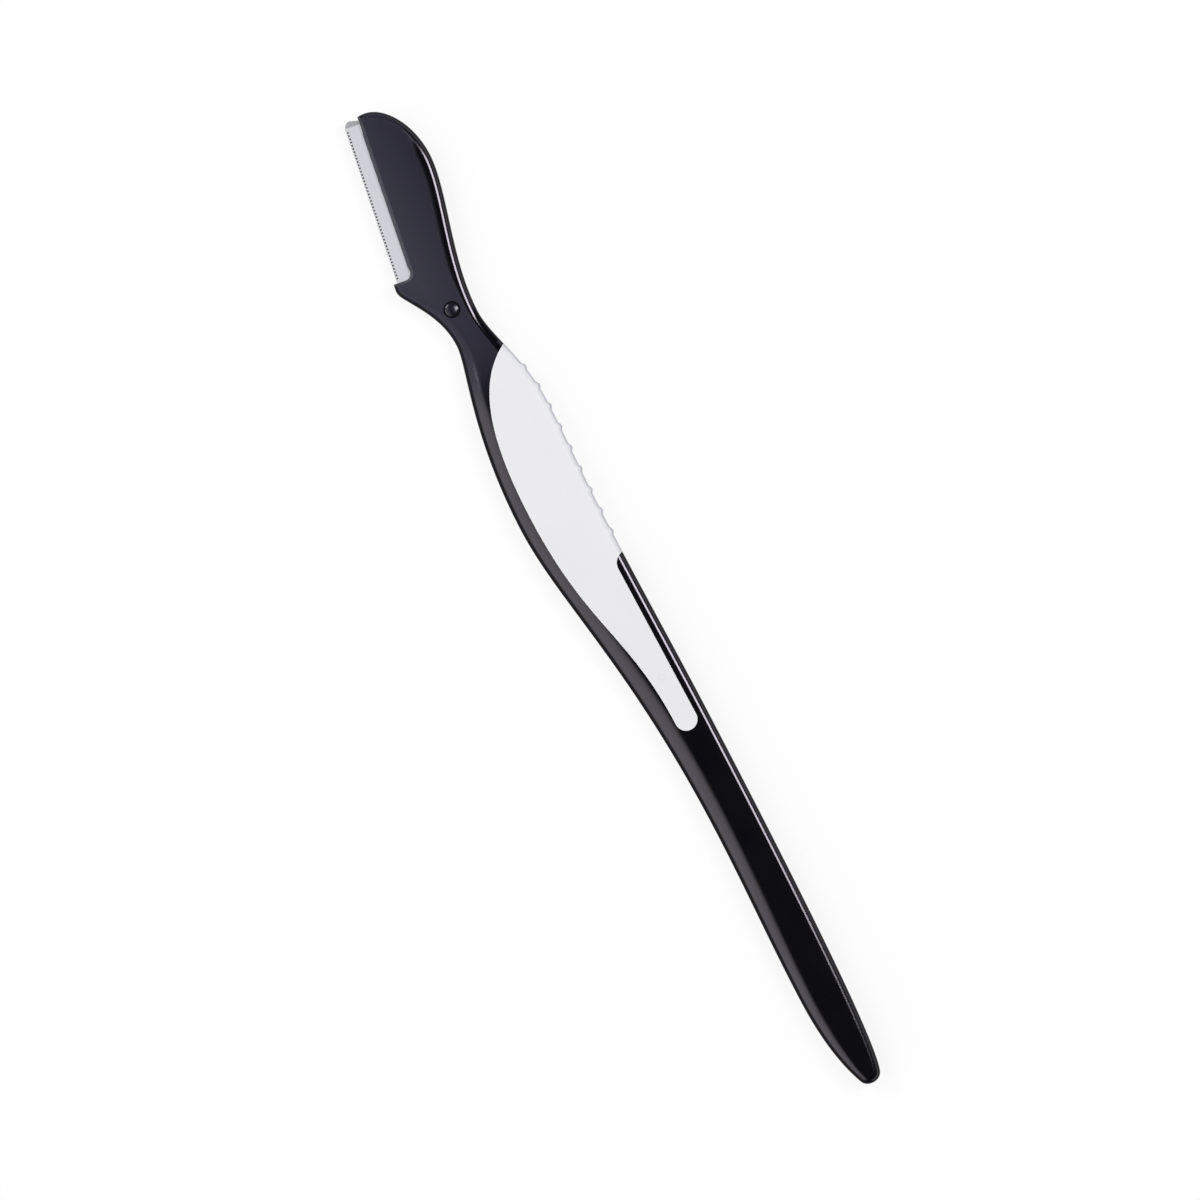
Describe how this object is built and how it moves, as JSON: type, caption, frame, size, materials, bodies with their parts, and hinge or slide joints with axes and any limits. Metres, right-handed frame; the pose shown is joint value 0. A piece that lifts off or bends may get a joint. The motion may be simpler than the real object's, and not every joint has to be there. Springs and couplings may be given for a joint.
{
  "type": "eyebrow razor",
  "caption": "Slim eyebrow razor with a soft overmoulded grip and a guarded blade set at a slant in a flat head.",
  "frame": {"origin": "middle of the underside: centre of the bounding box in X and Y, rear face of the handle in Z", "axes": "+X from the tail to the head, +Y towards the cutting edge, +Z out of the front face; the razor lies on its back"},
  "size_m": [0.1598, 0.0137, 0.005],
  "materials": {
    "black_plastic": "moulded gloss black, satin on the head and neck",
    "white_elastomer": "fine matt moulded white",
    "blade_steel": "ground stainless steel",
    "guard_steel": "satin stainless foil",
    "clamp_plastic": "satin moulded black",
    "stud_plastic": "polished black"
  },
  "bodies": {
    "root": {"handle_body": "black_plastic", "grip": "white_elastomer", "blade": "blade_steel", "edge_guard": "guard_steel", "blade_clamp": "clamp_plastic", "neck_stud": "stud_plastic"}
  },
  "joints": []
}
